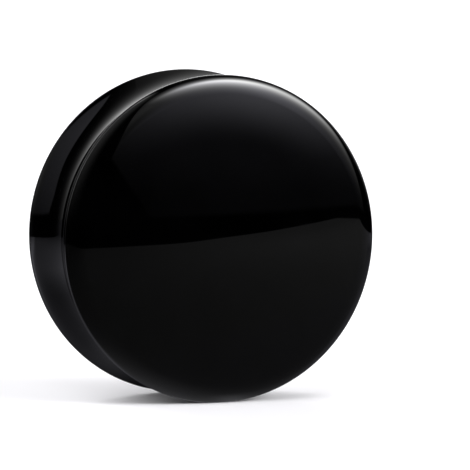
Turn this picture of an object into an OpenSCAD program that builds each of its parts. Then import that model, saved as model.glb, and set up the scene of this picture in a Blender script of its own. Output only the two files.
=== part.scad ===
// Double-flared ear plug of polished black stone, turned from one piece.
// It stands on its two flares as a wheel does: its axis is level and runs along Y, its front
// face looks towards -Y, and the origin is on the surface below its middle. Millimetres.

/* [Groove] */
// Wearing diameter, across the bottom of the groove
wearing_d = 32; // [20:1:60]
// How far each flare stands above the bottom of the groove
flare_rise = 1.5; // [1:0.1:2.2]
// Distance between the widest circles of the two flares
flare_span = 11.4; // [9:0.1:16]

/* [Faces] */
// How far the middle of each domed face stands past the widest circle of its flare
face_rise = 3.7; // [3.2:0.1:5.5]

/* [Edges] */
// Radius of the fine rounding on each flare's edge, round its widest circle
rim_r = 0.5; // [0.3:0.1:1.2]
// Radius of the soft shoulder between that rounding and the domed face
shoulder_r = 3.5; // [2:0.1:5]

/* [Hidden] */
$fn = 180;
stone = "#0b0b0d";

groove_r = wearing_d / 2;
flare_r = groove_r + flare_rise;

// The outline of half the plug has X as the distance from the axis, and Y from the middle of
// the groove to the middle of a face. Its arcs meet smoothly, on the lines through their centres.

// Centre of the rim's rounding
rim = [flare_r - rim_r, flare_span / 2];

// The groove's one hollow arc
saddle_r = (rim[1] * rim[1] + flare_rise * flare_rise) / (2 * flare_rise) - rim_r;
saddle = [groove_r + saddle_r, 0];

// The shoulder starts where the surface faces 4 parts outwards to 3 parts along the axis.
shoulder_start = [4, 3] / 5;
shoulder = rim - (shoulder_r - rim_r) * shoulder_start;

// The domed face is part of a sphere, and it starts on the line through both centres.
dome_above = rim[1] + face_rise - shoulder[1];
dome_r = (shoulder[0] * shoulder[0] + dome_above * dome_above - shoulder_r * shoulder_r)
    / (2 * (dome_above - shoulder_r));
dome = [0, rim[1] + face_rise - dome_r];
dome_start = (shoulder - dome) / norm(shoulder - dome);

module half_section() {
    // The core, with the groove cut from its side
    difference() {
        polygon([[0, 0], saddle, rim, [0, rim[1]]]);
        translate(saddle) circle(r = saddle_r);
    }
    translate(rim) circle(r = rim_r);
    // The shoulder, without its part past the rim
    intersection() {
        translate(shoulder) circle(r = shoulder_r);
        polygon([[0, 0], shoulder, shoulder + 2 * shoulder_r * shoulder_start, [0, dome_r]]);
    }
    // The domed face, without its part past the shoulder
    intersection() {
        translate(dome) circle(r = dome_r);
        polygon([[0, 0], shoulder, dome + 2 * dome_r * dome_start, [0, dome_r]]);
    }
}

module plug() {
    color(stone)
        translate([0, 0, flare_r])
        rotate([90, 0, 0])
        for (side = [0, 1])
            mirror([0, 0, side])
            rotate_extrude()
            half_section();
}

plug();
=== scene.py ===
import math

import bpy
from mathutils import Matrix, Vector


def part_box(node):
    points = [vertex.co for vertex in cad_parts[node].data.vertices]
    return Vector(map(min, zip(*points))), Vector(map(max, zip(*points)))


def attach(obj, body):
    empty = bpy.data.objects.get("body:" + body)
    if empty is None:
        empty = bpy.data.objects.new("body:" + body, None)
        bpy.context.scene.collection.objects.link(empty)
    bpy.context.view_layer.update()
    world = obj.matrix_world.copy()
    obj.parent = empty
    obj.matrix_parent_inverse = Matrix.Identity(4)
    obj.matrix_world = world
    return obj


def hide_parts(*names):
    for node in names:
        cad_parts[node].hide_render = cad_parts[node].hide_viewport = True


# A plug of polished black stone stands on a white studio floor. The world holds the studio that
# its polish mirrors: softboxes and scrims, each placed by azimuth and elevation. Metres.

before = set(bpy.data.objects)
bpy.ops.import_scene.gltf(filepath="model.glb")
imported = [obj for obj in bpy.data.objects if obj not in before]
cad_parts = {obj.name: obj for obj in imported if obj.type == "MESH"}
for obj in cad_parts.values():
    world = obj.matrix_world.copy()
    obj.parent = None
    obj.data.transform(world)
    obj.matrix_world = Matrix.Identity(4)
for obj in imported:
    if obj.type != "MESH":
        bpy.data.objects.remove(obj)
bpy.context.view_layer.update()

MM = 0.001

# The plug's outline: these sizes are those of the CAD part, and the rest come from its box.
FLARE_RISE = 1.5 * MM
FLARE_SPAN = 11.4 * MM
RIM_R = 0.5 * MM
SHOULDER_R = 3.5 * MM
SHOULDER_START = (4 / 5, 3 / 5)

# How many steps the outline's arcs and the turned surface have
DOME_STEPS = 48
SHOULDER_STEPS = 20
RIM_STEPS = 24
GROOVE_STEPS = 28
TURNS = 384

# Black volcanic glass, with clouds in its body and slight waves in its polish
STONE_IOR = 1.5
DARK_CLOUD = (0.00004, 0.00004, 0.00005, 1)
LIGHT_CLOUD = (0.0003, 0.0003, 0.00035, 1)
CLOUD_EDGES = (0.35, 0.75)
CLOUDS_PER_METRE = 260.0
CLEAR_ROUGHNESS = 0.02
CLOUDY_ROUGHNESS = 0.035
WAVES_PER_METRE = 90.0
WAVE_HEIGHT = 0.012 * MM

# The camera stands where the photographer's did. Angles are in degrees.
CAMERA_AT = (-205.43 * MM, -558.42 * MM, 69.10 * MM)
CAMERA_AZIMUTH = -20.55
CAMERA_DOWN = 4.96
LENS = 426.49
SENSOR = 36.0
CLIP_START = 10 * MM
CLIP_END = 20.0

# How bright the lights are that the polish mirrors, from the front round to the back
KEY_LIGHT = 62.0
SHEET_LIGHT = 0.6
WASH_LIGHT = 0.012
LEDGE_LIGHT = 0.032
NEAR_SCRIM_LIGHT = 0.41
GAP_LIGHT = 4.4
GAP_FOOT_LIGHT = 0.3
LOW_WALL_LIGHT = 3.5
HIGH_WALL_LIGHT = 0.66
LAMP_LIGHT = 2.0
REAR_GLOW_LIGHT = 0.06

# Two lights' places are ovals: the key's in distances on a ceiling 1 high, along its length and
# across it, and the dark flag's in degrees of azimuth and elevation.
KEY_MIDDLE = (0.08, 0.46)
KEY_HALF_SIZE = (0.77, 0.156)
KEY_FADE = -0.87
FLAG_MIDDLE = (17.6, 0.0)
FLAG_HALF_SIZE = (22.0, 15.6)

# How bright the floor's painted light is where the polish mirrors it, from the front round to the back.
# This glow of painted light and painted shade stands in for how the room lights the floor.
FLOOR_FRONT_LEFT = 0.035
FLOOR_FRONT_RIGHT = 0.2
FLOOR_RIM_GLOW = 0.4
FLOOR_PAINTED_LIGHT_SPOT = 0.28
FLOOR_CLOSE_BESIDE = 0.25
FLOOR_CLOSE_HILL = 0.2
FLOOR_FAR_BESIDE = 0.35
FLOOR_BEHIND = 0.18
FLOOR_UNDER_RIM = 0.1
FLOOR_SCRIM_GAP = 0.3
FLOOR_WHITE_SIDE = 0.04
CONTACT_SHADE = 0.85

# The floor is white, and the light that comes from all sides of the room falls on it.
FLOOR_HALF_SIDE = 6.0
FLOOR_COLOUR = (0.895, 0.889, 0.915, 1)
ROOM_LIGHT = 0.39
WHITE = (1, 1, 1, 1)
SLIGHT_BLUE = (0.99, 0.985, 1.105, 1)

# Soft lights on the floor: a name, then azimuth, elevation and width in degrees, then strength
SUNS = (
    ("key", 44.0, 21.0, 35.0, 4.0),
    ("back", -178.0, 22.0, 41.0, 3.5),
    ("left", -54.0, 43.0, 57.0, 1.6),
)


class Value:
    """A number that shader nodes work out, with plain arithmetic on it."""

    def __init__(self, tree, socket):
        self.tree = tree
        self.socket = socket

    def math(self, operation, *others):
        node = self.tree.nodes.new("ShaderNodeMath")
        node.operation = operation
        for place, other in zip(node.inputs, (self,) + others):
            connect(self.tree, other, place)
        return Value(self.tree, node.outputs[0])

    def __add__(self, other):
        return self.math("ADD", other)

    def __sub__(self, other):
        return self.math("SUBTRACT", other)

    def __mul__(self, other):
        return self.math("MULTIPLY", other)

    def __truediv__(self, other):
        return self.math("DIVIDE", other)

    def __pow__(self, other):
        return self.math("POWER", other)

    def __neg__(self):
        return self * -1.0

    def __rsub__(self, other):
        return -self + other

    __radd__ = __add__
    __rmul__ = __mul__

    def exp(self):
        return self.math("EXPONENT")

    def at_least(self, limit):
        return self.math("MAXIMUM", limit)

    def at_most(self, limit):
        return self.math("MINIMUM", limit)

    def ramp(self, start, end, low=0.0, high=1.0):
        """Goes smoothly from low at start to high at end, and stays there."""
        node = self.tree.nodes.new("ShaderNodeMapRange")
        node.interpolation_type = "SMOOTHSTEP"
        limits = {"From Min": start, "From Max": end, "To Min": low, "To Max": high}
        for name, number in limits.items():
            connect(self.tree, number, node.inputs[name])
        connect(self.tree, self, node.inputs["Value"])
        return Value(self.tree, node.outputs["Result"])

    def band(self, rise, fall):
        """Goes smoothly up to 1 from one end of rise to the other, and down again over fall."""
        return self.ramp(rise[0], rise[1]) * self.ramp(fall[1], fall[0])

    def hill(self, middle, width):
        """Is 1 at the middle and falls off on both sides as a bell does."""
        away = (self - middle) / width
        return (-(away * away)).exp()

    def tail(self, length):
        """Is 1 above 0, and dies out below it over about this length."""
        return (self / length).at_most(0.0).exp()


def connect(tree, source, place):
    """Links a Value to a socket, or sets the socket to a plain number."""
    if isinstance(source, Value):
        tree.links.new(source.socket, place)
    else:
        place.default_value = source


def dot(tree, vector, constant):
    node = tree.nodes.new("ShaderNodeVectorMath")
    node.operation = "DOT_PRODUCT"
    tree.links.new(vector, node.inputs[0])
    node.inputs[1].default_value = constant
    return Value(tree, node.outputs["Value"])


def studio_axes(tree, vector):
    """How far a vector goes to the studio's right, and how far it comes towards its front. The
    studio is turned as the camera is."""
    turn = math.radians(CAMERA_AZIMUTH)
    right = dot(tree, vector, (math.cos(turn), math.sin(turn), 0))
    near = dot(tree, vector, (math.sin(turn), -math.cos(turn), 0))
    return right, near


def slightly_blue(tree, amount):
    """A colour for light: white where the amount is 0, and slightly blue where it is 1."""
    node = tree.nodes.new("ShaderNodeValToRGB")
    node.color_ramp.elements[0].color = WHITE
    node.color_ramp.elements[1].color = SLIGHT_BLUE
    connect(tree, amount, node.inputs["Fac"])
    return node.outputs["Color"]


def arc(centre, radius, start, end, steps):
    """Points of an arc and their normals. Angles are in degrees from the plug's axis, outwards."""
    points = []
    for step in range(steps + 1):
        angle = math.radians(start + (end - start) * step / steps)
        normal = (math.sin(angle), math.cos(angle))
        points.append((centre[0] + radius * normal[0], centre[1] + radius * normal[1], normal))
    return points


def half_outline(flare_r, half_length):
    """The outline from the middle of a face to the middle of the groove, as (distance from the
    axis, distance from the groove's middle, normal)."""
    rim = (flare_r - RIM_R, FLARE_SPAN / 2)
    reach = SHOULDER_R - RIM_R
    shoulder = (rim[0] - reach * SHOULDER_START[0], rim[1] - reach * SHOULDER_START[1])
    above = half_length - shoulder[1]
    dome_r = (shoulder[0] ** 2 + above ** 2 - SHOULDER_R ** 2) / (2 * (above - SHOULDER_R))
    dome_lean = math.degrees(math.asin(shoulder[0] / (dome_r - SHOULDER_R)))
    shoulder_lean = math.degrees(math.atan2(*SHOULDER_START))
    saddle_r = (rim[1] ** 2 + FLARE_RISE ** 2) / (2 * FLARE_RISE) - RIM_R
    saddle_lean = 2 * math.degrees(math.atan(FLARE_RISE / rim[1]))
    saddle_x = flare_r - FLARE_RISE + saddle_r
    points = arc((0.0, half_length - dome_r), dome_r, 0.0, dome_lean, DOME_STEPS)
    points += arc(shoulder, SHOULDER_R, dome_lean, shoulder_lean, SHOULDER_STEPS)[1:]
    points += arc(rim, RIM_R, shoulder_lean, 90.0 + saddle_lean, RIM_STEPS)[1:]
    # The groove's arc is hollow, so its normals point towards its centre.
    hollow = arc((saddle_x, 0.0), saddle_r, 270.0 + saddle_lean, 270.0, GROOVE_STEPS)[1:]
    points += [(x, y, (-normal[0], -normal[1])) for x, y, normal in hollow]
    return points


def plug_mesh(flare_r, half_length):
    """The whole plug, turned round the Y axis, with exact normals."""
    half = half_outline(flare_r, half_length)
    front = [(x, -y, (normal[0], -normal[1])) for x, y, normal in half]
    back = [(x, y, normal) for x, y, normal in reversed(half)]
    # The groove's middle comes once, and each face's middle is a single point of its own.
    outline = front[1:] + back[1:-1]
    vertices = [(0.0, -half_length, flare_r)]
    normals = [(0.0, -1.0, 0.0)]
    for x, y, normal in outline:
        for turn in range(TURNS):
            angle = 2 * math.pi * turn / TURNS
            across = math.cos(angle)
            up = math.sin(angle)
            vertices.append((x * across, y, flare_r + x * up))
            normals.append((normal[0] * across, normal[1], normal[0] * up))
    vertices.append((0.0, half_length, flare_r))
    normals.append((0.0, 1.0, 0.0))
    last = len(vertices) - 1
    last_ring = 1 + (len(outline) - 1) * TURNS
    faces = []
    for turn in range(TURNS):
        after = (turn + 1) % TURNS
        faces.append((0, 1 + turn, 1 + after))
        for here in range(1, last_ring, TURNS):
            there = here + TURNS
            faces.append((here + turn, there + turn, there + after, here + after))
        faces.append((last, last_ring + after, last_ring + turn))
    mesh = bpy.data.meshes.new("polished_plug")
    mesh.from_pydata(vertices, [], faces)
    mesh.shade_smooth()
    mesh.normals_split_custom_set_from_vertices(normals)
    return mesh


def noise(tree, place, scale, detail):
    node = tree.nodes.new("ShaderNodeTexNoise")
    node.inputs["Scale"].default_value = scale
    node.inputs["Detail"].default_value = detail
    tree.links.new(place, node.inputs["Vector"])
    return node.outputs["Fac"]


def stone_material():
    """Black volcanic glass: a clear polish over a body with faint darker and lighter clouds."""
    material = bpy.data.materials.new("polished_black_stone")
    material.use_nodes = True
    tree = material.node_tree
    shader = tree.nodes["Principled BSDF"]
    shader.inputs["IOR"].default_value = STONE_IOR
    place = tree.nodes.new("ShaderNodeTexCoord").outputs["Object"]

    clouds = noise(tree, place, CLOUDS_PER_METRE, detail=6.0)
    body = tree.nodes.new("ShaderNodeValToRGB")
    for element, position, colour in zip(body.color_ramp.elements, CLOUD_EDGES, (DARK_CLOUD, LIGHT_CLOUD)):
        element.position = position
        element.color = colour
    tree.links.new(clouds, body.inputs["Fac"])
    tree.links.new(body.outputs["Color"], shader.inputs["Base Color"])

    # The polish is a little less even where the clouds are light.
    haze = Value(tree, clouds).ramp(0.3, 0.8, CLEAR_ROUGHNESS, CLOUDY_ROUGHNESS)
    connect(tree, haze, shader.inputs["Roughness"])

    # Hand polishing leaves the surface very slightly wavy.
    bump = tree.nodes.new("ShaderNodeBump")
    bump.inputs["Distance"].default_value = WAVE_HEIGHT
    tree.links.new(noise(tree, place, WAVES_PER_METRE, detail=1.0), bump.inputs["Height"])
    tree.links.new(bump.outputs["Normal"], shader.inputs["Normal"])
    return material


def add_plug():
    low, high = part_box("plug")
    mesh = plug_mesh((high.z - low.z) / 2, (high.y - low.y) / 2)
    mesh.materials.append(stone_material())
    plug = bpy.data.objects.new("plug_stone", mesh)
    bpy.context.scene.collection.objects.link(plug)
    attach(plug, "root")
    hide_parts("plug")


def add_camera():
    camera = bpy.data.objects.new("camera", bpy.data.cameras.new("camera"))
    camera.data.lens = LENS
    camera.data.sensor_width = SENSOR
    camera.data.clip_start = CLIP_START
    camera.data.clip_end = CLIP_END
    camera.location = CAMERA_AT
    camera.rotation_euler = (math.radians(90 - CAMERA_DOWN), 0.0, math.radians(CAMERA_AZIMUTH))
    bpy.context.scene.collection.objects.link(camera)
    bpy.context.scene.camera = camera


def from_middle(places, middle, half_size):
    """How far a place is from an oval's middle, squared. It is 1 on the oval's edge."""
    first, second = [(place - at) / half for place, at, half in zip(places, middle, half_size)]
    return first * first + second * second


def front_lights(azimuth, elevation, across, towards):
    """The key light, and a sheet that hangs in front."""
    # The key hangs overhead on the right, at 45 degrees to the camera, inside a wide frame.
    along = across - towards
    out = across + towards
    key = KEY_LIGHT * (from_middle((along, out), KEY_MIDDLE, KEY_HALF_SIZE) + 1.0) ** KEY_FADE
    key = key * along.ramp(-0.65, 0.74)

    # A dark oval flag stands before the sheet, and the light past it is a faint wash.
    sheet = SHEET_LIGHT * azimuth.ramp(-14.0, 23.0) * azimuth.ramp(38.0, 70.0, 1.0, -0.34)
    sheet = sheet * ((elevation - 10.0) / 15.0).at_least(0.0).at_most(1.0)
    flag = from_middle((azimuth, elevation), FLAG_MIDDLE, FLAG_HALF_SIZE).math("SQRT").ramp(1.0, 1.74)
    wash = WASH_LIGHT * (elevation / 14.5).exp() * elevation.ramp(2.0, 12.0)
    ledge = LEDGE_LIGHT * elevation.ramp(0.0, 1.5) * azimuth.ramp(-18.0, 25.0)
    front = ((key + sheet) * flag + wash) * out.ramp(0.02, 1.1) + ledge

    # The sheet and the key's frame end in a sharp edge on the left, and softly at the back.
    left_edge = (azimuth + elevation * 0.63).ramp(1.8, 3.0)
    back_edge = (towards + across * 0.1).ramp(-1.12, -0.43)
    return front * left_edge * back_edge


def scrims(azimuth, elevation, across, towards):
    """Two grey scrims stand on the left, with a narrow bright gap between them."""
    near_scrim = NEAR_SCRIM_LIGHT * azimuth.band((-104.0, -96.0), (-85.0, -40.0))
    near_scrim = near_scrim * elevation.ramp(0.0, 66.0)
    # The far scrim leans to the back at its top, and is a little narrower at its foot.
    lean = elevation.ramp(22.0, 60.0, 134.5, 150.5) - elevation.ramp(13.0, 5.0, 0.0, 3.5)
    back_edge = (azimuth + lean).ramp(-1.5, 1.5)
    top = (towards + across * 0.54).ramp(-0.49, -0.56)
    far_scrim = (elevation * 0.0045 + 0.055).at_most(0.25) * elevation.ramp(3.8, 6.3)
    far_scrim = far_scrim * back_edge * azimuth.ramp(-98.0, -104.0) * top
    gap = azimuth.hill(-97.0, 4.5) * (GAP_LIGHT * elevation.ramp(2.0, 40.0) + GAP_FOOT_LIGHT)
    return (near_scrim + far_scrim + gap) * elevation.ramp(84.0, 74.0)


def rear_lights(azimuth, elevation):
    """Light that comes back from the walls behind."""
    low = LOW_WALL_LIGHT * azimuth.band((109.0, 142.0), (133.0, 203.0))
    low = low * elevation.band((0.0, 23.0), (-6.5, 59.0))
    high = HIGH_WALL_LIGHT * azimuth.band((109.0, 142.0), (-11.0, 218.0))
    high = high * elevation.band((-6.5, 59.0), (69.0, 85.0))
    lamp = LAMP_LIGHT * azimuth.hill(157.0, 23.6) * elevation.hill(16.3, 14.3)
    glint = azimuth.hill(141.0, 8.2) * elevation.hill(3.0, 8.0)
    foot = azimuth.hill(159.0, 12.0) * elevation.ramp(12.0, 2.0)
    glow = REAR_GLOW_LIGHT * azimuth.band((120.0, 150.0), (185.0, 212.0)) * elevation.ramp(30.0, 5.0)
    return (low + high + lamp + glint + foot + glow) * elevation.ramp(-1.0, 0.0)


def studio(azimuth, elevation, across, towards):
    """The light that the polish mirrors and how blue it is. Azimuth 0 is in front of the plug, and
    grows to the right. Across and towards are where a direction meets a ceiling 1 high, along the
    studio's axes."""
    front = front_lights(azimuth, elevation, across, towards)
    left = scrims(azimuth, elevation, across, towards)
    rear = rear_lights(azimuth.math("FLOORED_MODULO", 360.0), elevation)
    light = (front + left + rear).at_least(0.0)
    # The sheet and the far scrim are slightly blue, and the key less so.
    sheet_blue = azimuth.band((-15.0, 5.0), (50.0, 80.0)) * elevation.ramp(55.0, 28.0, 0.3, 1.0)
    scrim_blue = azimuth.band((-158.0, -145.0), (-116.0, -104.0))
    return light, sheet_blue.at_least(scrim_blue)


def add_world():
    """The camera sees plain white, the polish sees the studio, and the floor the room's light."""
    world = bpy.data.worlds.new("studio")
    bpy.context.scene.world = world
    world.use_nodes = True
    tree = world.node_tree
    direction = tree.nodes.new("ShaderNodeTexCoord").outputs["Generated"]
    x = dot(tree, direction, (1, 0, 0))
    y = dot(tree, direction, (0, 1, 0))
    up = dot(tree, direction, (0, 0, 1))
    azimuth = x.math("ARCTAN2", -y) * math.degrees(1)
    elevation = up.math("ARCSINE") * math.degrees(1)
    right, near = studio_axes(tree, direction)
    above = up.at_least(0.01)
    light, blue = studio(azimuth, elevation, right / above, near / above)
    path = tree.nodes.new("ShaderNodeLightPath")
    camera = Value(tree, path.outputs["Is Camera Ray"])
    glossy = Value(tree, path.outputs["Is Glossy Ray"])
    strength = camera + glossy * light + (1.0 - camera) * (1.0 - glossy) * ROOM_LIGHT
    background = tree.nodes["Background"]
    connect(tree, strength, background.inputs["Strength"])
    tree.links.new(slightly_blue(tree, glossy * blue), background.inputs["Color"])


def painted_light_before(right, near, back):
    """Painted light on the floor in front of the plug, which gets lighter to the right."""
    before = right.ramp(-110.0, 180.0, FLOOR_FRONT_LEFT, FLOOR_FRONT_RIGHT)
    before = before * near.ramp(80.0, 190.0, 1.0, 0.8)
    # Painted light: close in front of the rim the floor is brighter, most of all in a painted spot just
    # right of the contact.
    past_rim = back + FLARE_SPAN / 2 / MM
    glow = FLOOR_RIM_GLOW * past_rim.tail(right.ramp(-9.0, 5.0, 3.4, 1.55)) * right.hill(-3.0, 9.5)
    painted_light_spot = FLOOR_PAINTED_LIGHT_SPOT * right.hill(3.3, 1.8) * back.ramp(-7.4, -6.3)
    return before + glow + painted_light_spot


def painted_light_behind(right, near):
    """Painted light on the floor between the rims and behind the plug, which gets darker further away."""
    behind = FLOOR_BEHIND * near.tail(120.0)
    behind = behind * (right.ramp(-58.0, -30.0, 1.25, 0.4) + right.ramp(-18.0, -8.0, 0.0, 0.5))
    behind = behind * right.ramp(-260.0, -60.0, 0.45, 1.0)
    behind = behind.at_least(right.ramp(60.0, 160.0, 0.0, FLOOR_BEHIND))
    # Painted light from the left lies on the floor just under the back rim.
    past = near + right * 0.16 + 4.9
    under = past.at_most(0.6)
    under = FLOOR_UNDER_RIM * ((under / 2.2).exp() + (under / 0.45).exp())
    under = under * past.ramp(7.0, 0.6) * right.ramp(-110.0, -70.0) * right.ramp(-2.0, -60.0, 0.0, 2.6)
    return behind + under


def painted_light_beside(right, near):
    """Painted light on the floor beside the front rim, for the light that passes the face."""
    close = FLOOR_CLOSE_HILL * right.hill(-10.0, 15.0) + FLOOR_CLOSE_BESIDE * right.ramp(10.0, -10.0)
    far = FLOOR_FAR_BESIDE * right.hill(-95.0, 40.0)
    return close * near.ramp(3.5, 8.5) + far * near.ramp(0.0, 10.0)


def painted_floor_light(right, near, back):
    """The painted light that the floor glows with where the polish mirrors it, and how blue it is: a dull
    painted board with dark round it. Right and near are measured along the studio's axes, and back along
    the plug, in millimetres from the point below its middle."""
    front_edge = (near - right * 0.19 + 9.0 * right.hill(100.0, 45.0)).ramp(175.0, 171.0)
    back_edge = (near - right * 0.8).ramp(-305.0, -270.0)
    board = right.ramp(-205.0, -185.0) * front_edge * back_edge
    # Painted shade: under the groove, close to where the plug touches the floor, the painted light is
    # darkened, as little light gets in there.
    shade = 1.0 - CONTACT_SHADE * right.hill(-6.0, 4.5) * near.hill(-1.0, 12.0)
    in_front = back.ramp(-4.6, -6.4)
    elsewhere = 1.0 - in_front
    before = painted_light_before(right, near, back)
    around = (painted_light_behind(right, near) + painted_light_beside(right, near)) * shade
    floor = board * (before * in_front + around * elsewhere)
    # Painted light: straight behind the plug the floor and the wall glow white.
    turned = right / near.at_most(-1.0)
    white = turned.hill(0.0, 0.3) + FLOOR_WHITE_SIDE * turned.hill(0.6, 0.5)
    white = white * near.ramp(-30.0, -120.0)
    # A painted pool of light from the gap between the scrims lies on the floor on the left.
    turned = near / right.at_most(-1.0)
    gap = FLOOR_SCRIM_GAP * turned.hill(-0.24, 0.085) * right.ramp(-150.0, -200.0)
    # Behind and beside the plug the painted light on the floor is slightly blue, and close in front of it
    # less so.
    blue = elsewhere.at_least(0.5 * near.ramp(25.0, 8.0))
    return floor.at_least(white).at_least(gap), blue


def floor_material():
    """White, but where the polish mirrors it the floor glows with painted light and painted shade, dull as
    the board is.
    """
    material = bpy.data.materials.new("floor")
    material.use_nodes = True
    tree = material.node_tree
    tree.nodes.clear()
    white = tree.nodes.new("ShaderNodeBsdfDiffuse")
    white.inputs["Color"].default_value = FLOOR_COLOUR
    place = tree.nodes.new("ShaderNodeNewGeometry").outputs["Position"]
    right, near = studio_axes(tree, place)
    back = dot(tree, place, (0, 1, 0))
    # The floor's glow in the polish is painted light and painted shade, not lamp light.
    painted_floor_glow = tree.nodes.new("ShaderNodeEmission")
    strength, blue = painted_floor_light(right / MM, near / MM, back / MM)
    connect(tree, strength, painted_floor_glow.inputs["Strength"])
    tree.links.new(slightly_blue(tree, blue), painted_floor_glow.inputs["Color"])
    path = tree.nodes.new("ShaderNodeLightPath")
    mix = tree.nodes.new("ShaderNodeMixShader")
    tree.links.new(path.outputs["Is Glossy Ray"], mix.inputs["Fac"])
    tree.links.new(white.outputs[0], mix.inputs[1])
    tree.links.new(painted_floor_glow.outputs[0], mix.inputs[2])
    output = tree.nodes.new("ShaderNodeOutputMaterial")
    tree.links.new(mix.outputs[0], output.inputs["Surface"])
    return material


def add_floor():
    mesh = bpy.data.meshes.new("floor")
    corners = ((-1, -1), (1, -1), (1, 1), (-1, 1))
    vertices = [(x * FLOOR_HALF_SIDE, y * FLOOR_HALF_SIDE, 0) for x, y in corners]
    mesh.from_pydata(vertices, [], [(0, 1, 2, 3)])
    mesh.materials.append(floor_material())
    floor = bpy.data.objects.new("floor", mesh)
    bpy.context.scene.collection.objects.link(floor)


def add_sun(name, azimuth, elevation, width, strength):
    """A distant soft light, which the polish doesn't mirror because the studio above is there."""
    light = bpy.data.lights.new(name, "SUN")
    light.energy = strength
    light.angle = math.radians(width)
    lamp = bpy.data.objects.new(name, light)
    lamp.rotation_euler = (math.radians(90 - elevation), 0.0, math.radians(azimuth))
    lamp.visible_glossy = False
    bpy.context.scene.collection.objects.link(lamp)


bpy.context.scene.view_settings.view_transform = "Standard"
add_plug()
add_camera()
add_world()
add_floor()
for sun in SUNS:
    add_sun(*sun)
